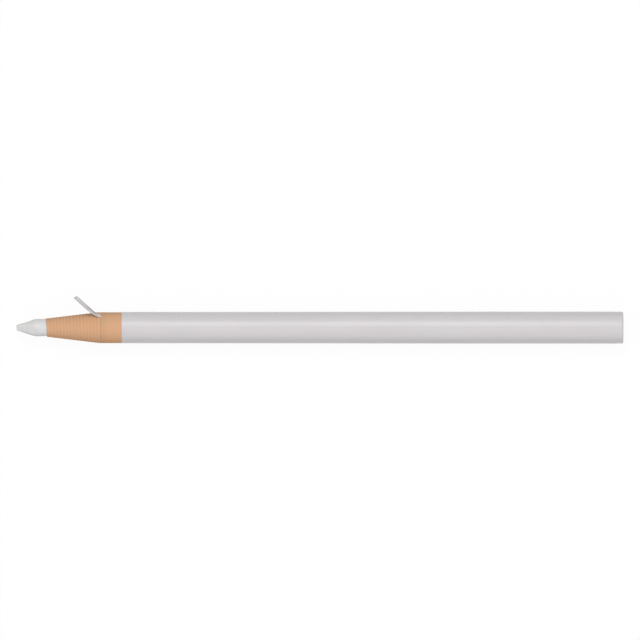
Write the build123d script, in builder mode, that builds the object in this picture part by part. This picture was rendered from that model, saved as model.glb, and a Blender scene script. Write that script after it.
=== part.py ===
from build123d import *

import os
from math import cos, degrees, radians, sin, tan

# A paper-wrapped wax marker. It lies along X with its point towards -X, and the origin is the middle of its
# flat rear face. Distances along the marker are counted back from the tip. All sizes are in millimetres.

# Wax core
overall_length = 170.0
core_diameter = 5.0
point_length = 4.9
point_flat_diameter = 1.55
point_edge_radius = 0.3
shoulder_radius = 3.0
bare_core_length = 3.5

# Wound kraft paper: the slanted front edge sets each turn back behind the one under it
paper_thickness = 0.106
paper_turns = 17
turn_setback = 0.9375
core_clearance = 0.05

# Peel strips: the paper is scored through behind the cone, behind the bare band and at even steps after that
bare_band_length = 6.1
labelled_strips = 23
score_gap = 0.04

# Label: one sheet glued round the paper and turned in at the rear
label_thickness = 0.14
glue_gap = 0.02
rear_turn_in = 0.08
rear_turn_length = 0.4

# Pull string: pressed flat under the outer turn of paper, and rounder where it is free
string_width = 1.5
string_thickness = 0.35
string_clearance = 0.02
string_angle = 38.0
cover_turns = 1
lead_out_radius = 1.8
lead_out_turn = 40.0
rip_clearance = 0.1
bend_gap = 0.12
tail_diameter = 1.0
tongue_length = 0.7

# Free end of the string from its bend: (back along the marker, out from its axis). Each arc takes up to a
# share of the shorter run beside it.
arc_share = 0.45
tail_route = [(0.0, 0.0), (-1.7, 1.4), (-3.9, 4.0), (-5.9, 6.2)]

# Places along the marker
paper_start = point_length + bare_core_length
first_score = paper_start + (paper_turns - 1) * turn_setback
label_start = first_score + bare_band_length
rear_turn_start = overall_length - rear_turn_length
strip_pitch = (overall_length - label_start) / labelled_strips

# Radii
core_radius = core_diameter / 2
bore_radius = core_radius + core_clearance
kraft_radius = bore_radius + paper_turns * paper_thickness
label_bore = kraft_radius + glue_gap
label_radius = label_bore + label_thickness
channel_roof = kraft_radius - cover_turns * paper_thickness
channel_floor = channel_roof - string_thickness - 2 * string_clearance
string_radius = (channel_roof + channel_floor) / 2
channel_width = string_width + 2 * string_clearance
slot_floor = string_radius - string_thickness / 2 - rip_clearance
slot_width = string_width + 2 * rip_clearance

# The string bends here, where its lead-out has risen clear of the paper
bend_place = first_score - lead_out_radius * sin(radians(lead_out_turn))
bend_radius = string_radius + lead_out_radius * (1 - cos(radians(lead_out_turn)))
lead_out_stop = lead_out_turn - degrees((string_thickness / 2 + bend_gap) / lead_out_radius)

# Lengthwise planes start at the tip: local x runs back along the marker and local y out from its axis
tip = (-overall_length, 0, 0)
long_section = Plane(origin=tip, x_dir=(1, 0, 0), z_dir=(0, -1, 0))
string_side = (0, -sin(radians(string_angle)), cos(radians(string_angle)))
string_section = Plane(origin=tip, x_dir=(1, 0, 0), z_dir=string_side)


def cross_section(distance):
    """The plane square to the marker at a distance from its tip, with angles counted from +Y to +Z."""
    return Plane(origin=(distance - overall_length, 0, 0), x_dir=(0, 1, 0), z_dir=(1, 0, 0))


def ring_sector(inner, outer, middle_angle, width):
    """A piece of a flat ring, as wide as given along the middle of its wall."""
    spread = degrees(2 * width / (inner + outer))
    with BuildSketch() as sector:
        with BuildLine():
            inside = CenterArc((0, 0), inner, middle_angle - spread / 2, spread)
            outside = CenterArc((0, 0), outer, middle_angle - spread / 2, spread)
            Line(inside @ 0, outside @ 0)
            Line(inside @ 1, outside @ 1)
        make_face()
    return sector.sketch


def step_towards(start, goal, distance):
    """The point at a distance from one point on the way to another."""
    way = (Vector(*goal) - Vector(*start)).normalized()
    point = Vector(*start) + way * distance
    return (point.X, point.Y)


def corner_radii(points):
    """The largest arc that the two runs at each inner point of a route leave room for."""
    radii = []
    for before, corner, after in zip(points, points[1:], points[2:]):
        run_in = Vector(*corner) - Vector(*before)
        run_out = Vector(*after) - Vector(*corner)
        half_turn = radians(run_in.get_angle(run_out)) / 2
        radii.append(arc_share * min(run_in.length, run_out.length) / tan(half_turn))
    return radii


os.makedirs("parts", exist_ok=True)

# Wax core: a straight stick with a blunt tapered point
with BuildPart() as wax_core:
    with BuildSketch(long_section):
        with BuildLine():
            Polyline(
                (0, 0),
                (0, point_flat_diameter / 2),
                (point_length, core_radius),
                (overall_length, core_radius),
                (overall_length, 0),
                close=True,
            )
        make_face()
    revolve(axis=Axis.X)
    shoulder = wax_core.edges().filter_by(GeomType.CIRCLE).sort_by(Axis.X)[1]
    fillet(shoulder, radius=shoulder_radius)
    point_edge = wax_core.edges().filter_by(GeomType.CIRCLE).sort_by(Axis.X)[0]
    fillet(point_edge, radius=point_edge_radius)
wax_core.part.label = "wax_core"
export_step(wax_core.part, "parts/wax_core.step")

# Cone strip: every turn but the outermost ends in a step, and the string's ripped slot is open at the outside
cone_steps = []
for turn in range(1, paper_turns):
    turn_edge = paper_start + (turn - 1) * turn_setback
    cone_steps.append((turn_edge, bore_radius + (turn - 1) * paper_thickness))
    cone_steps.append((turn_edge, bore_radius + turn * paper_thickness))
cone_end = first_score - score_gap

with BuildPart() as cone_strip:
    with BuildSketch(long_section):
        with BuildLine():
            Polyline(
                *cone_steps,
                (cone_end, kraft_radius - paper_thickness),
                (cone_end, bore_radius),
                close=True,
            )
        make_face()
    revolve(axis=Axis.X)
    with BuildSketch(cross_section(paper_start)):
        add(ring_sector(slot_floor, kraft_radius, string_angle, slot_width))
    extrude(amount=first_score - paper_start, mode=Mode.SUBTRACT)
cone_strip.part.label = "cone_strip"
export_step(cone_strip.part, "parts/cone_strip.step")

# Peel strips: the first is the bare band, the rest lie under the label, and the last ends at the rear face
strip_starts = [first_score]
for strip in range(labelled_strips):
    strip_starts.append(label_start + strip * strip_pitch)
strip_ends = [start - score_gap for start in strip_starts[1:]] + [overall_length]

for number, (start, end) in enumerate(zip(strip_starts, strip_ends), 1):
    with BuildPart() as peel_strip:
        with BuildSketch(cross_section(start)):
            Circle(kraft_radius)
            Circle(bore_radius, mode=Mode.SUBTRACT)
            add(
                ring_sector(channel_floor, channel_roof, string_angle, channel_width),
                mode=Mode.SUBTRACT,
            )
        extrude(amount=end - start)
        if end == overall_length:
            with BuildSketch(long_section):
                with BuildLine():
                    Polyline(
                        (rear_turn_start, kraft_radius),
                        (overall_length, kraft_radius),
                        (overall_length, kraft_radius - rear_turn_in),
                        close=True,
                    )
                make_face()
            revolve(axis=Axis.X, mode=Mode.SUBTRACT)
    name = f"peel_strip_{number:02d}"
    peel_strip.part.label = name
    export_step(peel_strip.part, f"parts/{name}.step")

# Label: a thin sleeve whose rear edge leans in over the last strip's rim
with BuildPart() as label_wrap:
    with BuildSketch(long_section):
        with BuildLine():
            Polyline(
                (label_start, label_bore),
                (label_start, label_radius),
                (rear_turn_start, label_radius),
                (overall_length, label_radius - rear_turn_in),
                (overall_length, label_bore - rear_turn_in),
                (rear_turn_start, label_bore),
                close=True,
            )
        make_face()
    revolve(axis=Axis.X)
label_wrap.part.label = "label_wrap"
export_step(label_wrap.part, "parts/label_wrap.step")

# Pull string: flat in its channel from the rear face to the first score, then bent up through the open slot
with BuildPart() as pull_string:
    with BuildLine(string_section) as string_path:
        in_paper = Line((overall_length, string_radius), (first_score, string_radius))
        JernArc(in_paper @ 1, in_paper % 1, lead_out_radius, -lead_out_stop)
    with BuildSketch(cross_section(overall_length)):
        add(
            ring_sector(
                channel_floor + string_clearance,
                channel_roof - string_clearance,
                string_angle,
                string_width,
            )
        )
    sweep(path=string_path.wire())
pull_string.part.label = "pull_string"
export_step(pull_string.part, "parts/pull_string.step")

# String tail: a flat tongue, round about the bend's axis, that fills out into the round free end
tail_points = [(bend_place + back, bend_radius + out) for back, out in tail_route]
tongue_middle = step_towards(tail_points[0], tail_points[1], tongue_length / 2)
tongue_end = step_towards(tail_points[0], tail_points[1], tongue_length)
round_start = step_towards(tail_points[0], tail_points[1], tongue_length + tail_diameter / 2)
round_route = [round_start, *tail_points[1:]]
tail_radii = corner_radii(round_route)

with BuildPart() as string_tail:
    with BuildSketch(string_section):
        SlotCenterPoint(tongue_middle, tongue_end, string_thickness)
    extrude(amount=string_width / 2, both=True)
    with BuildLine(string_section) as tail_path:
        FilletPolyline(*round_route, radius=tail_radii)
    tail_start = Plane(origin=tail_path.line @ 0, x_dir=string_side, z_dir=tail_path.line % 0)
    with BuildSketch(tail_start):
        Circle(tail_diameter / 2)
    sweep(path=tail_path.wire())
    with BuildSketch(tail_start):
        Circle(tail_diameter / 2)
    with BuildSketch(tail_start.offset(-tongue_length / 2 - tail_diameter / 2)):
        Ellipse(string_width / 2 - string_clearance, string_thickness / 2 - string_clearance)
    loft()
string_tail.part.label = "string_tail"
export_step(string_tail.part, "parts/string_tail.step")

print("string tail bend radii", [round(radius, 2) for radius in tail_radii])
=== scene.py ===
from math import atan2, ceil, cos, degrees, exp, hypot, inf, pi, radians, sin, sqrt

import bmesh
import bpy
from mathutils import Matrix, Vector, noise


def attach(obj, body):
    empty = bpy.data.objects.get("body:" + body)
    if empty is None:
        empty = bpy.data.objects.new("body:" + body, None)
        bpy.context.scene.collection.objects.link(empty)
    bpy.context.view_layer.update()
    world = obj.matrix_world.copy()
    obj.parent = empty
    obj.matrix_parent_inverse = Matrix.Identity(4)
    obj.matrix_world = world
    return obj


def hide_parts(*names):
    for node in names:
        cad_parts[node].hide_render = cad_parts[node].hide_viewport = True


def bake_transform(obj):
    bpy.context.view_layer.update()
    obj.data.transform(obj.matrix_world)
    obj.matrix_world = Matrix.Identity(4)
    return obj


# The looks of a paper-wrapped wax marker. Sizes are in millimetres until a mesh is finished, distances along
# the marker are counted back from the tip, and angles about its axis go from +Y (0) to +Z (90), in degrees.
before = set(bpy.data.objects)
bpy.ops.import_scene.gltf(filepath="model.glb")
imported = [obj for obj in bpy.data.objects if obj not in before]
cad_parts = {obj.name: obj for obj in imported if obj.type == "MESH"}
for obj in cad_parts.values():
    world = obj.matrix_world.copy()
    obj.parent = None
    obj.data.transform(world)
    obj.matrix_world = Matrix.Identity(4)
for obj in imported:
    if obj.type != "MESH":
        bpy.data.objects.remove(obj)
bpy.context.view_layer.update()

MM = 0.001
LENGTH = 170.0
LEAST_GAP = 0.02
MERGE_DISTANCE = 0.0004

# Wax stick: thinner where it is bare, and widening a little way inside the paper
CORE_R = 2.46
BARE_R = 2.41
WIDENING = (1.0, 3.0)
STICK_SIDES = 132
ROUNDING_STEPS = 6
CUT_EDGE = 0.12
WAX_UNEVENNESS = 0.02
ON_AXIS = 0.05

# Point: a blunt cone whose end face leans a little
POINT_LENGTH = 5.1
POINT_STEPS = 8
POINT_FLAT_R = 0.75
POINT_EDGE = 0.1
SHOULDER = 0.55
END_FACE = 0.2
END_UNEVENNESS = 0.05
END_SETBACK = 0.08
END_LEAN = 0.07

# Small flats shaved round the point: the angles of their edges, and where they start and run out
SHAVED_FLATS = (24, 52, 80, 115, 150, 180, 222, 262, 300, 338)
SHAVED_STRETCH = (-0.1, 0.5, 3.2, 5.2)
SHAVING_DEPTH = 0.9

# One broad flat cut by a knife: the angle it faces, its height at the tip and its rise for each millimetre
KNIFE_FLAT = (110.0, 0.28, 0.37)

# Wound paper: the roll starts and ends at the underside, and its front edge is cut on a slant
ROLL_ANGLE = -90.0
ROLL_R = 2.475
TURN_PITCH = 0.1127
TURNS = 16
ROLL_END = ROLL_ANGLE + 360 * TURNS
PAPER = 0.096
PAPER_START = 8.46
SETBACK = 0.9375
WINDING_STEP = 4.0
PLAIN_ROWS = 3
EDGE_BAND = 0.3
EDGE_WANDER = 0.035
EDGE_LIFT = 0.012
PRESSED_EDGE = 0.45

# Strips: the paper is scored behind the cone, at the label's edge and at even steps under the label
FIRST_SCORE = 23.55
SCORE_GAP = 0.04
LABEL_START = 29.5
LABELLED_STRIPS = 23
CONE_END = FIRST_SCORE - SCORE_GAP
LAST_STRIP = LENGTH - (LENGTH - LABEL_START) / LABELLED_STRIPS

# Bare band: how far behind its front edge each row lies, how much darker the edge and these rows are painted
# (at the edge partly painted shade), and the lip that the string has worn there
DARKENED_WIDTHS = (EDGE_BAND, 1.2, 2.3)
DARKENING_SHARES = (0.7, 0.6, 0.45, 0.12)
WORN_SPREAD = 10.0
WORN_BACK = 0.24
WORN_LIFT = (0.12, 0.08)

# Label sheet: it laps over itself at the underside, and its rear edge is turned in
LABEL_BORE = 4.355
LABEL_SHEET = 0.036
LABEL_RISE = 0.09
RISE_STRETCH = (45.0, 145.0)
LABEL_ROWS = 28
LABEL_RIPPLE = 0.006
LABEL_EDGE_WANDER = 0.03
LAP_START = -152.0
LAP_SPREAD = 40.0
LAP_RAMP = 26.0
LAP_LIFT = LABEL_SHEET * 1.04
REAR_TURN = 0.6
REAR_DROP = 0.36
TURNED_ROWS = (0.75, 0.5, 0.3, 0.15, 0.05, 0.0)

# Rear face: the last strip's turns end just inside the label
GLUE_GAP = 0.01
REAR_BAND = 0.1
REAR_RECESS = 0.03
REAR_UNEVENNESS = 0.025

# Cuts in the paper for the string: from one radius to another, and how wide
CHANNEL = (3.83, 4.24, 1.56)
RIP_SLOT = (4.1, 9.0, 1.6)
BARREL_R = 4.4
TEAR_UNEVENNESS = 0.25

# String: flat under the outer turn of paper, and fuller where it is free
STRING_ANGLE = 38.0
STRING_R = 4.05
STRING_FLAT = (1.5, 0.3)
STRING_FREE = (1.2, 1.05)
FREEING_STRETCH = (0.1, 2.6)
STRING_SIDES = 36
STRING_STEPS = 28
STRING_PLIES = 3
STRING_LAY = 2.6
PLY_DEPTH = 0.1

# Places on the string, back from the tip and out from the axis: its route, its slanted cut with the way that
# this faces, and the bend where its free end turns
STRING_ROUTE = (
    (169.88, 4.05),
    (30.0, 4.05),
    (25.2, 4.05),
    (23.75, 4.07),
    (22.95, 4.34),
    (21.8, 5.02),
    (20.15, 6.72),
    (18.45, 8.68),
    (16.35, 11.1),
)
STRING_CUT = ((16.69, 10.83), (-0.42, 0.88, 0.25))

# Marks on the string: painted shade along its upper side near the root, and a warm tint at its root
SHADE_STRETCH = (18.2, 20.4, 22.3, 23.0)
SHADE_SIDE = (0.3, 0.9)
ROOT_STRETCH = (22.0, 23.0, 25.0, 30.0)


# Shaders
class Tone:
    """What a node gives: it takes part in Python sums, each of which adds a Math node."""

    def __init__(self, finish, socket):
        self.finish = finish
        self.socket = socket

    def sum(self, operation, left, right):
        return self.finish.node("ShaderNodeMath", {"operation": operation}, {0: left, 1: right})

    def __add__(self, other):
        return self.sum("ADD", self, other)

    def __sub__(self, other):
        return self.sum("SUBTRACT", self, other)

    def __rsub__(self, other):
        return self.sum("SUBTRACT", other, self)

    def __mul__(self, other):
        return self.sum("MULTIPLY", self, other)

    __radd__ = __add__
    __rmul__ = __mul__


class Finish:
    """A tree of shader nodes, and the ways to add to it."""

    def __init__(self, owner):
        owner.use_nodes = True
        self.owner = owner
        self.tree = owner.node_tree

    def node(self, kind, settings=None, sockets=None, output=0):
        made = self.tree.nodes.new(kind)
        for name, value in (settings or {}).items():
            setattr(made, name, value)
        self.plug(made, sockets or {})
        return Tone(self, made.outputs[output])

    def plug(self, made, sockets):
        for name, value in sockets.items():
            if isinstance(value, Tone):
                self.tree.links.new(value.socket, made.inputs[name])
            else:
                made.inputs[name].default_value = value

    def place(self, stretch=(1, 1, 1), turn=(0, 0, 0)):
        """Object coordinates in millimetres, stretched and turned."""
        here = self.node("ShaderNodeTexCoord", output="Object")
        scale = tuple(1 / (MM * share) for share in stretch)
        return self.node("ShaderNodeMapping", None, {"Vector": here, "Rotation": turn, "Scale": scale})

    def grain(self, place, size, detail=3.0, rough=0.5):
        """Noise about 0.5, with spots of about a size in millimetres."""
        return self.node(
            "ShaderNodeTexNoise",
            None,
            {"Vector": place, "Scale": 1 / size, "Detail": detail, "Roughness": rough},
        )

    def ramp(self, value, start, end, low=0.0, high=1.0):
        """A value between start and end, turned into one between low and high."""
        return self.node(
            "ShaderNodeMapRange",
            None,
            {"Value": value, "From Min": start, "From Max": end, "To Min": low, "To Max": high},
        )

    def mix(self, share, first, second):
        """One colour turned into another by a share from 0 to 1."""
        settings = {"data_type": "RGBA"}
        return self.node("ShaderNodeMix", settings, {"Factor": share, 6: first, 7: second}, output=2)

    def bump(self, height, depth):
        """A normal from a height of 0 to 1, of a depth in millimetres."""
        return self.node("ShaderNodeBump", None, {"Height": height, "Strength": 1.0, "Distance": depth * MM})

    def mark(self, name):
        """What the mesh holds under a name at each of its corners."""
        return self.node("ShaderNodeAttribute", {"attribute_name": name}, output="Fac")


def colour(red, green, blue):
    return (red, green, blue, 1.0)


def material(name, **sockets):
    """A principled material with the values that are the same all over it."""
    finish = Finish(bpy.data.materials.new(name))
    finish.surface = finish.tree.nodes["Principled BSDF"]
    finish.plug(finish.surface, {key.replace("_", " "): value for key, value in sockets.items()})
    return finish


def wax_finish():
    """White wax with long shaving marks, cloudy shades and a few specks of dirt."""
    wax = material("white wax", Subsurface_Weight=0.04, Subsurface_Scale=0.5 * MM)
    bare = colour(0.762, 0.752, 0.744)
    dull = colour(0.72, 0.710, 0.701)
    dirt = colour(0.60, 0.595, 0.585)
    cloud = wax.grain(wax.place(), 1.6)
    shavings = wax.grain(wax.place(stretch=(9, 1, 1)), 0.16, detail=4.0)
    specks = wax.ramp(wax.grain(wax.place(), 0.22), 0.66, 0.74)
    shade = wax.mix(wax.ramp(cloud, 0.35, 0.7), bare, dull)
    wax.plug(
        wax.surface,
        {
            "Base Color": wax.mix(specks * 0.3, shade, dirt),
            "Roughness": wax.ramp(cloud, 0.3, 0.7, 0.48, 0.6),
            "Normal": wax.bump(shavings * 0.6 + cloud * 0.4, 0.035),
        },
    )
    return wax.owner


def kraft_finish(name, cut_edges):
    """Tan paper with fibres. On wound pieces the turns' cut edges are darker, partly painted shade at each
    step.
    """
    kraft = material(name, Specular_IOR_Level=0.03)
    tan = colour(0.738, 0.421, 0.24)
    greyish_tan = colour(0.712, 0.435, 0.264)
    dark_fibre = colour(0.56, 0.31, 0.17)
    pale_fibre = colour(0.78, 0.52, 0.34)
    edge_darkening = colour(0.50, 0.27, 0.15)
    fibres = kraft.grain(kraft.place(stretch=(1, 3, 3)), 0.11, detail=5.0, rough=0.65)
    cloud = kraft.grain(kraft.place(), 2.6, detail=2.0)
    pale = kraft.grain(kraft.place(stretch=(1, 5, 5)), 0.07)
    shade = kraft.mix(kraft.ramp(cloud, 0.3, 0.7), tan, greyish_tan)
    shade = kraft.mix(kraft.ramp(fibres, 0.35, 0.75, 0.0, 0.3), shade, dark_fibre)
    shade = kraft.mix(kraft.ramp(pale, 0.62, 0.72, 0.0, 0.35), shade, pale_fibre)
    if cut_edges:
        # Cut edges painted darker: partly their own colour, partly painted shade at the step of each turn
        shade = kraft.mix(kraft.mark("cut_edge") * 0.36, shade, edge_darkening)
    kraft.plug(
        kraft.surface,
        {
            "Base Color": shade,
            "Roughness": kraft.ramp(fibres, 0.3, 0.7, 0.78, 0.9),
            "Normal": kraft.bump(fibres, 0.02),
        },
    )
    return kraft.owner


def label_finish():
    """Coated white paper, smooth enough to shine."""
    label = material("coated label paper", Specular_IOR_Level=0.6)
    clean = colour(0.668, 0.640, 0.654)
    worn = colour(0.640, 0.612, 0.622)
    fibres = label.grain(label.place(stretch=(2, 1, 1)), 0.14, detail=4.0, rough=0.6)
    cloud = label.grain(label.place(stretch=(4, 1, 1)), 3.0, detail=2.0)
    label.plug(
        label.surface,
        {
            "Base Color": label.mix(label.ramp(cloud * 0.7 + fibres * 0.3, 0.36, 0.66), clean, worn),
            "Roughness": label.ramp(fibres, 0.3, 0.7, 0.22, 0.29),
            "Normal": label.bump(fibres * 0.4 + cloud * 0.6, 0.012),
        },
    )
    return label.owner


def string_finish():
    """White string with fibres across its length, painted shade on its upper side near the root, and a warm
    tint at its root.
    """
    thread = material("white string", Specular_IOR_Level=0.25, Sheen_Weight=0.15)
    white = colour(0.70, 0.692, 0.697)
    between_fibres = colour(0.58, 0.573, 0.577)
    warm = colour(0.74, 0.72, 0.71)
    painted_shade = colour(0.36, 0.33, 0.33)
    paper_tint = colour(0.80, 0.63, 0.58)
    fibres = thread.grain(thread.place(turn=(0, radians(20), radians(40))), 0.07, detail=4.0, rough=0.6)
    cloud = thread.grain(thread.place(), 0.9, detail=2.0)
    shade = thread.mix(thread.ramp(fibres, 0.3, 0.75), white, between_fibres)
    shade = thread.mix(thread.ramp(cloud, 0.4, 0.8, 0.0, 0.3), shade, warm)
    # Painted shade along the upper side of the string near its root
    shade = thread.mix(thread.mark("upper_shade") * 0.6, shade, painted_shade)
    shade = thread.mix(thread.mark("root") * 0.6, shade, paper_tint)
    thread.plug(
        thread.surface,
        {
            "Base Color": shade,
            "Roughness": thread.ramp(fibres, 0.3, 0.7, 0.7, 0.85),
            "Normal": thread.bump(fibres, 0.04),
        },
    )
    return thread.owner


# Shapes
def merge(shape):
    bmesh.ops.remove_doubles(shape, verts=shape.verts, dist=MERGE_DISTANCE)


def close_ends(shape):
    merge(shape)
    bmesh.ops.holes_fill(shape, edges=[edge for edge in shape.edges if edge.is_boundary], sides=0)


def dress(name, shape, finish, sharp=40.0):
    """Makes a piece in the frame of a mesh that is drawn from the tip in millimetres."""
    merge(shape)
    bmesh.ops.recalc_face_normals(shape, faces=shape.faces)
    bmesh.ops.translate(shape, verts=shape.verts, vec=(-LENGTH, 0, 0))
    bmesh.ops.scale(shape, verts=shape.verts, vec=(MM, MM, MM))
    mesh = bpy.data.meshes.new(name)
    shape.to_mesh(mesh)
    shape.free()
    mesh.shade_smooth()
    mesh.set_sharp_from_angle(angle=radians(sharp))
    mesh.materials.append(finish)
    piece = bpy.data.objects.new(name, mesh)
    bpy.context.scene.collection.objects.link(piece)
    return piece


def smooth_step(value, start, end):
    share = min(max((value - start) / (end - start), 0.0), 1.0)
    return share * share * (3 - 2 * share)


def swell(value, rise_start, rise_end, fall_start, fall_end):
    """Rises from 0 to 1 over one stretch, and falls to 0 again over another."""
    return smooth_step(value, rise_start, rise_end) * (1 - smooth_step(value, fall_start, fall_end))


def waver(most, *place):
    """A smooth random value about 0. The fixed numbers in a place keep one pattern apart from another."""
    return most * noise.noise(Vector(place))


def set_round(vert, radius, angle):
    vert.co.y = radius * cos(radians(angle))
    vert.co.z = radius * sin(radians(angle))


def angle_of(vert):
    return degrees(atan2(vert.co.z, vert.co.y)) % 360


def flat_share(angle):
    """How far a flat shaved between two edges lies under the round, as a share of the radius."""
    first = SHAVED_FLATS[0]
    angle = first + (angle - first) % 360
    flats = zip(SHAVED_FLATS, SHAVED_FLATS[1:] + (first + 360,))
    start, end = [flat for flat in flats if flat[0] <= angle][-1]
    half = radians(end - start) / 2
    return 1 - cos(half) / cos(radians(angle - start) - half)


def knife_reach(along, angle):
    """How far from the axis the knife's flat lets the wax reach. Away from the flat there is no limit."""
    facing, tip_height, rise = KNIFE_FLAT
    towards = cos(radians(angle - facing))
    return (tip_height + rise * along) / towards if towards > 0 else inf


def wax_stick(finish):
    """The stick turned from its outline, with its point shaved by hand."""
    shape = bmesh.new()
    outline = [(0, 0), (0, POINT_FLAT_R)]
    for step in range(1, POINT_STEPS + 1):
        share = step / POINT_STEPS
        outline.append((POINT_LENGTH * share, POINT_FLAT_R + (BARE_R - POINT_FLAT_R) * share))
    for inside, radius in zip(WIDENING, (BARE_R, CORE_R)):
        outline.append((PAPER_START + inside, radius))
    outline += [(LENGTH, CORE_R), (LENGTH, 0)]
    corners = [shape.verts.new((along, radius, 0)) for along, radius in outline]
    for pair in zip(corners, corners[1:]):
        shape.edges.new(pair)
    point_edge, shoulder, rear_edge = corners[1], corners[1 + POINT_STEPS], corners[-2]
    for corner, size in ((point_edge, POINT_EDGE), (shoulder, SHOULDER), (rear_edge, CUT_EDGE)):
        bmesh.ops.bevel(
            shape,
            geom=[corner],
            offset=size,
            affect="VERTICES",
            segments=ROUNDING_STEPS,
            profile=0.5,
            material=-1,
        )
    bmesh.ops.spin(
        shape,
        geom=list(shape.verts) + list(shape.edges),
        cent=(0, 0, 0),
        axis=(1, 0, 0),
        angle=2 * pi,
        steps=STICK_SIDES,
        use_merge=True,
    )
    for vert in shape.verts:
        along, radius, angle = vert.co.x, hypot(vert.co.y, vert.co.z), angle_of(vert)
        if radius < ON_AXIS:
            continue
        uneven = waver(WAX_UNEVENNESS, along * 0.35, vert.co.y * 0.9, vert.co.z * 0.9)
        shaved = swell(along, *SHAVED_STRETCH) * SHAVING_DEPTH
        radius = min(radius * (1 - shaved * flat_share(angle)), knife_reach(along, angle))
        set_round(vert, radius + uneven * min(radius, 1.0), angle)
        if along < END_FACE:
            rough = waver(END_UNEVENNESS, 3.1, vert.co.y * 1.7, vert.co.z * 1.7)
            vert.co.x += rough + END_SETBACK - END_LEAN * vert.co.y
    return dress("wax_stick", shape, finish, sharp=60.0)


def folded_grid(shape, steps, rim):
    """A grid to fold into a tube: each corner, its share of the way along and its number round the rim."""
    corners = bmesh.ops.create_grid(shape, x_segments=steps, y_segments=rim, size=0.5)["verts"]
    return [(vert, vert.co.x + 0.5, round((vert.co.y + 0.5) * rim) % rim) for vert in corners]


def wound_sheet(shape, rows, first, last, thickness, radius_at, place_at, pressed=1.0, darkened=(1.0,)):
    """Winds a sheet about the axis from one angle to another. Its rows are counted from its front edge, which
    may be pressed to a share of its thickness. The first rows are painted darker by a share each, which at a
    turn's edge is partly painted shade."""
    edge_mark = shape.verts.layers.float.get("cut_edge") or shape.verts.layers.float.new("cut_edge")
    steps = max(2, ceil((last - first) / WINDING_STEP))
    for vert, share, corner in folded_grid(shape, steps, 2 * rows):
        angle = first + (last - first) * share
        outer = corner < rows
        row = corner if outer else 2 * rows - 1 - corner
        wall = thickness * (pressed if row == 0 else 1.0) if outer else 0.0
        # How much darker each row is painted; at the front edge this is partly painted shade
        vert[edge_mark] = darkened[row] if row < len(darkened) else 0.0
        vert.co.x = place_at(angle, row)
        set_round(vert, radius_at(angle, row) + wall, angle)


def coil_radius(angle, pitch=TURN_PITCH):
    return ROLL_R + pitch * (angle - ROLL_ANGLE) / 360


def slant_edge(angle):
    """Where the paper's slanted front edge lies at an angle of the winding."""
    wander = waver(EDGE_WANDER, angle / 70.0, 4.7, 1.3)
    return PAPER_START + SETBACK * ((angle - ROLL_ANGLE) / 360 - 0.5) + wander


def torn_share(turn, side):
    """How much wider than the string a turn of paper has torn on one side."""
    return 1.0 + abs(waver(TEAR_UNEVENNESS, turn * 0.7, side, 2.9))


def stretches(first, last, cut, pitch=TURN_PITCH):
    """What is left of a winding when its turns between two radii are cut through for the string."""
    low, high, width = cut
    half = degrees(width / (low + min(high, BARREL_R)))
    left, start = [], first
    turn = ceil((first - STRING_ANGLE) / 360)
    while STRING_ANGLE + turn * 360 + 2 * half < last:
        middle = STRING_ANGLE + turn * 360
        if low < coil_radius(middle, pitch) + PAPER / 2 < high:
            left.append((start, middle - half * torn_share(turn, 0.3)))
            start = middle + half * torn_share(turn, 8.6)
        turn += 1
    left.append((start, last))
    return left


def cone_roll(finish):
    """The foremost strip: each turn of it ends behind the one under it, and the string has ripped it open."""
    shape = bmesh.new()

    def place(angle, row):
        front = slant_edge(angle)
        return (front, min(front + EDGE_BAND, CONE_END - LEAST_GAP), CONE_END)[row]

    def radius(angle, row):
        lift = waver(EDGE_LIFT, angle / 55.0, 9.1, 0.4)
        return coil_radius(angle) + (lift if row < 2 else 0.0)

    for start, end in stretches(ROLL_ANGLE, ROLL_END, RIP_SLOT):
        wound_sheet(shape, PLAIN_ROWS, start, end, PAPER, radius, place, pressed=PRESSED_EDGE)
    close_ends(shape)
    return dress("cone_roll", shape, finish)


def band_roll(finish):
    """The bare strip behind the cone. Its outer end runs along the underside, and its front edge has a lip
    that the string has worn."""
    shape = bmesh.new()
    rows = len(DARKENED_WIDTHS) + 2
    worn_angle = STRING_ANGLE + 360 * (TURNS - 1)

    def worn(angle, most):
        return most * exp(-(((angle - worn_angle) / WORN_SPREAD) ** 2))

    def place(angle, row):
        front = max(FIRST_SCORE, slant_edge(angle)) + worn(angle, WORN_BACK)
        return (front, *(front + width for width in DARKENED_WIDTHS), LABEL_START - LEAST_GAP)[row]

    def radius(angle, row):
        return coil_radius(angle) + worn(angle, WORN_LIFT[row] if row < len(WORN_LIFT) else 0.0)

    for start, end in stretches(ROLL_ANGLE, ROLL_END, CHANNEL):
        wound_sheet(shape, rows, start, end, PAPER, radius, place, darkened=DARKENING_SHARES)
    close_ends(shape)
    return dress("band_roll", shape, finish)


def rear_drop(place):
    """How far the rear edge is turned in towards the axis."""
    share = max(0.0, (place - (LENGTH - REAR_TURN)) / REAR_TURN)
    return REAR_DROP * (1 - sqrt(1 - min(share, 1.0) ** 2))


def label_rise(place):
    """How much fuller the barrel grows under the label towards its rear."""
    return LABEL_RISE * smooth_step(place, *RISE_STRETCH)


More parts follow.
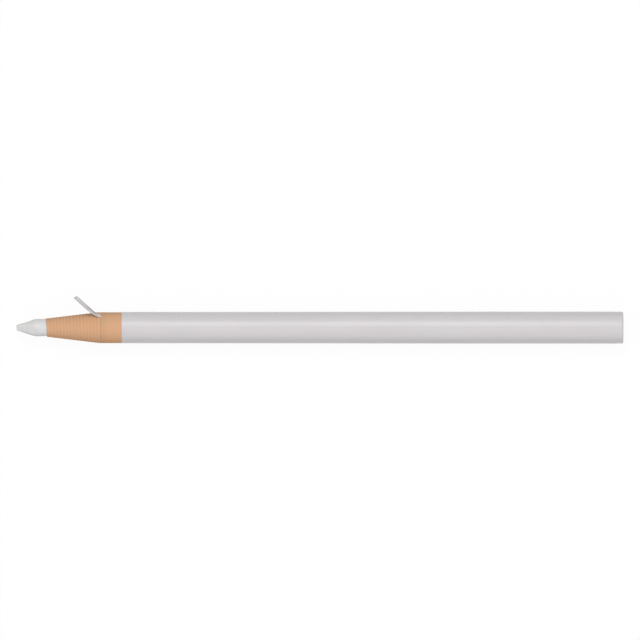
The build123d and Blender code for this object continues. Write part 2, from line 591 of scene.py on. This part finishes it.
def rear_roll(finish):
    """The last strip, whose turns show as a coil on the rear face."""
    shape = bmesh.new()
    outside = LABEL_BORE + label_rise(LENGTH) - GLUE_GAP - PAPER
    pitch = (outside - ROLL_R) / TURNS

    def place(angle, row):
        depth = min((outside - coil_radius(angle, pitch)) / REAR_DROP, 1.0)
        end = LENGTH - REAR_TURN * (1 - sqrt(1 - (1 - depth) ** 2))
        cut = waver(REAR_UNEVENNESS, angle / 90.0, 2.2, 7.4) - REAR_RECESS
        return (end + cut, end - REAR_BAND, LAST_STRIP)[row]

    def radius(angle, row):
        return coil_radius(angle, pitch)

    for start, end in stretches(ROLL_ANGLE, ROLL_END, CHANNEL, pitch):
        wound_sheet(shape, PLAIN_ROWS, start, end, PAPER, radius, place)
    close_ends(shape)
    return dress("rear_roll", shape, finish)


def label_sleeve(finish):
    """One sheet glued round the barrel, lapped over its own start and turned in at the rear."""
    shape = bmesh.new()
    straight = LENGTH - REAR_TURN - LABEL_START
    barrel = [LABEL_START + straight * step / LABEL_ROWS for step in range(LABEL_ROWS + 1)]
    turned = [LENGTH - REAR_TURN * share for share in TURNED_ROWS]
    places = [barrel[0], barrel[0] + EDGE_BAND] + barrel[1:] + turned
    lapping = LAP_START + 360

    def place(angle, row):
        wander = waver(LABEL_EDGE_WANDER, angle / 60.0, 5.5, 3.1)
        return places[row] + (wander if row == 0 else 0.0)

    def radius(angle, row):
        along = places[row]
        lap = LAP_LIFT * smooth_step(angle, lapping - LAP_RAMP, lapping)
        ripple = waver(LABEL_RIPPLE, along / 14.0, cos(radians(angle)), sin(radians(angle)))
        return LABEL_BORE + label_rise(along) + lap + abs(ripple) - rear_drop(along)

    wound_sheet(shape, len(places), LAP_START, lapping + LAP_SPREAD, LABEL_SHEET, radius, place)
    close_ends(shape)
    return dress("label_sleeve", shape, finish)


def beside_axis(along, out):
    """A place on the string's side of the marker."""
    return Vector((along, out * cos(radians(STRING_ANGLE)), out * sin(radians(STRING_ANGLE))))


def string_points():
    """Points along the string: its route is the control points of a smooth line beside the axis."""
    curve = bpy.data.curves.new("string_line", "CURVE")
    curve.dimensions = "3D"
    spline = curve.splines.new("NURBS")
    spline.points.add(len(STRING_ROUTE) - 1)
    for point, (along, out) in zip(spline.points, STRING_ROUTE):
        point.co = (along, out, 0, 1)
    spline.order_u = 3
    spline.use_endpoint_u = True
    spline.resolution_u = STRING_STEPS
    carrier = bpy.data.objects.new("string_line", curve)
    line = bpy.data.meshes.new_from_object(carrier)
    points = [vert.co.copy() for vert in line.vertices]
    bpy.data.objects.remove(carrier)
    bpy.data.curves.remove(curve)
    bpy.data.meshes.remove(line)
    return points


def rip_string(finish):
    """A string of twisted plies, pressed flat in the paper and cut on a slant at its free end."""
    shape = bmesh.new()
    points = string_points()
    route = [beside_axis(point.x, point.y) for point in points]
    last = len(points) - 1
    side = Vector((0, -sin(radians(STRING_ANGLE)), cos(radians(STRING_ANGLE))))
    upper_shade = shape.verts.layers.float.new("upper_shade")
    root = shape.verts.layers.float.new("root")
    travelled = [0.0]
    for start, end in zip(points, points[1:]):
        travelled.append(travelled[-1] + (end - start).length)
    for vert, share, corner in folded_grid(shape, last, STRING_SIDES):
        number = round(share * last)
        along, height = points[number].x, points[number].y
        around = 2 * pi * corner / STRING_SIDES
        way = (route[min(number + 1, last)] - route[max(number - 1, 0)]).normalized()
        under = side.cross(way)
        free = smooth_step(height - STRING_R, *FREEING_STRETCH)
        twist = 2 * pi * travelled[number] / STRING_LAY
        ply = abs(cos((around - twist) * STRING_PLIES / 2))
        full = 1 - free * PLY_DEPTH * (1 - ply)
        width, depth = (flat + (fuller - flat) * free for flat, fuller in zip(STRING_FLAT, STRING_FREE))
        across = side * (cos(around) * width / 2 * full) + under * (sin(around) * depth / 2 * full)
        vert.co = route[number] + across
        # Where shade is painted on the string: its upper side, near the root
        vert[upper_shade] = swell(along, *SHADE_STRETCH) * smooth_step(-sin(around), *SHADE_SIDE)
        vert[root] = swell(along, *ROOT_STRETCH)
    merge(shape)
    cut_place, cut_way = STRING_CUT
    bmesh.ops.bisect_plane(
        shape,
        geom=list(shape.verts) + list(shape.edges) + list(shape.faces),
        plane_co=beside_axis(*cut_place),
        plane_no=cut_way,
        clear_outer=True,
    )
    close_ends(shape)
    return dress("rip_string", shape, finish, sharp=50.0)


# Pieces
kraft_wound = kraft_finish("wound kraft paper", cut_edges=True)
kraft_plain = kraft_finish("kraft paper", cut_edges=False)
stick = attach(wax_stick(wax_finish()), "marker")
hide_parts("wax_core")
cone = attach(cone_roll(kraft_wound), "cone_strip")
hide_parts("cone_strip")
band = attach(band_roll(kraft_wound), "marker")
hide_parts("peel_strip_01")
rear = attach(rear_roll(kraft_wound), "marker")
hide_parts("peel_strip_24")
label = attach(label_sleeve(label_finish()), "marker")
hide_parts("label_wrap")
string = rip_string(string_finish())
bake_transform(string)
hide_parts("pull_string", "string_tail")

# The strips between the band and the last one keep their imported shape
for number in range(2, LABELLED_STRIPS + 1):
    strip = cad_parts[f"peel_strip_{number:02d}"].data
    strip.materials.clear()
    strip.materials.append(kraft_plain)

# Stage: the floor and the surround look white, but light the marker less than that. Lengths are in metres
# here, but the camera's film is measured in millimetres
WHITE = colour(1.0, 1.0, 1.0)
FLOOR_Z = -4.485 * MM
FLOOR_SIZE = 3.0
FLOOR_GREY = colour(0.36, 0.36, 0.36)
FLOOR_GLOW = 0.94
SKY_ABOVE = 0.86
SKY_AROUND = 0.16
LIGHT_DISTANCE = 0.6
VIEW_PLACE = Vector((-84.96, 2.13, 0)) * MM
VIEW_HEIGHT = 8.0
VIEW_WIDTH = 0.1793
FILM_WIDTH = 36.0


def seen_directly(finish):
    """1 for what is looked at, also by reflection or through glass, and 0 for light that falls on things."""
    total = 0.0
    for ray in ("Is Camera Ray", "Is Glossy Ray", "Is Transmission Ray"):
        total = finish.node("ShaderNodeLightPath", output=ray) + total
    return finish.node("ShaderNodeMath", {"operation": "MINIMUM"}, {0: total, 1: 1.0})


def white_floor():
    """A floor that looks white and still shows a faint shadow."""
    shape = bmesh.new()
    bmesh.ops.create_grid(shape, x_segments=1, y_segments=1, size=FLOOR_SIZE)
    mesh = bpy.data.meshes.new("floor")
    shape.to_mesh(mesh)
    shape.free()
    board = Finish(bpy.data.materials.new("white board"))
    seen = seen_directly(board)
    board.tree.nodes.remove(board.tree.nodes["Principled BSDF"])
    tint = board.mix(seen, FLOOR_GREY, WHITE)
    matt = board.node("ShaderNodeBsdfDiffuse", None, {"Color": tint})
    glow = board.node("ShaderNodeEmission", None, {"Color": WHITE, "Strength": 1.0})
    both = board.node("ShaderNodeMixShader", None, {0: seen * FLOOR_GLOW, 1: matt, 2: glow})
    board.plug(board.tree.nodes["Material Output"], {"Surface": both})
    mesh.materials.append(board.owner)
    floor = bpy.data.objects.new("floor", mesh)
    floor.location.z = FLOOR_Z
    bpy.context.scene.collection.objects.link(floor)


def soft_sky():
    """A white surround to look at, whose light on things is stronger from above."""
    sky = Finish(bpy.data.worlds.new("studio"))
    bpy.context.scene.world = sky.owner
    way = sky.node("ShaderNodeTexCoord", output="Generated")
    height = sky.node("ShaderNodeSeparateXYZ", None, {0: way}, output="Z")
    above = sky.node("ShaderNodeMath", {"operation": "MAXIMUM"}, {0: height, 1: 0.0})
    lit = above * SKY_ABOVE + SKY_AROUND
    seen = seen_directly(sky)
    sky.plug(
        sky.tree.nodes["Background"],
        {"Color": WHITE, "Strength": seen + (1 - seen) * lit},
    )


def soft_box(name, tilt, size, power, reflected=True):
    """A light over the middle of the marker, leant towards +Y by an angle."""
    lamp = bpy.data.lights.new(name, "AREA")
    lamp.shape = "RECTANGLE"
    lamp.size, lamp.size_y = size
    lamp.energy = power
    holder = bpy.data.objects.new(name, lamp)
    lean = radians(tilt)
    holder.location = (-LENGTH * MM / 2, LIGHT_DISTANCE * sin(lean), LIGHT_DISTANCE * cos(lean))
    holder.rotation_euler = (-lean, 0, 0)
    holder.visible_glossy = reflected
    bpy.context.scene.collection.objects.link(holder)


def camera():
    """Looks straight down from far away, so that the marker is seen almost without perspective."""
    eye = bpy.data.cameras.new("camera")
    eye.sensor_width = FILM_WIDTH
    eye.lens = FILM_WIDTH * VIEW_HEIGHT / VIEW_WIDTH
    holder = bpy.data.objects.new("camera", eye)
    holder.location = VIEW_PLACE + Vector((0, 0, VIEW_HEIGHT))
    bpy.context.scene.collection.objects.link(holder)
    bpy.context.scene.camera = holder


white_floor()
soft_sky()
soft_box("key", tilt=30.0, size=(0.26, 0.34), power=0.6)
soft_box("lamp", tilt=30.0, size=(0.04, 0.04), power=0.36, reflected=False)
soft_box("fill", tilt=-65.0, size=(0.3, 0.3), power=0.46, reflected=False)
camera()
bpy.context.scene.view_settings.view_transform = "Standard"
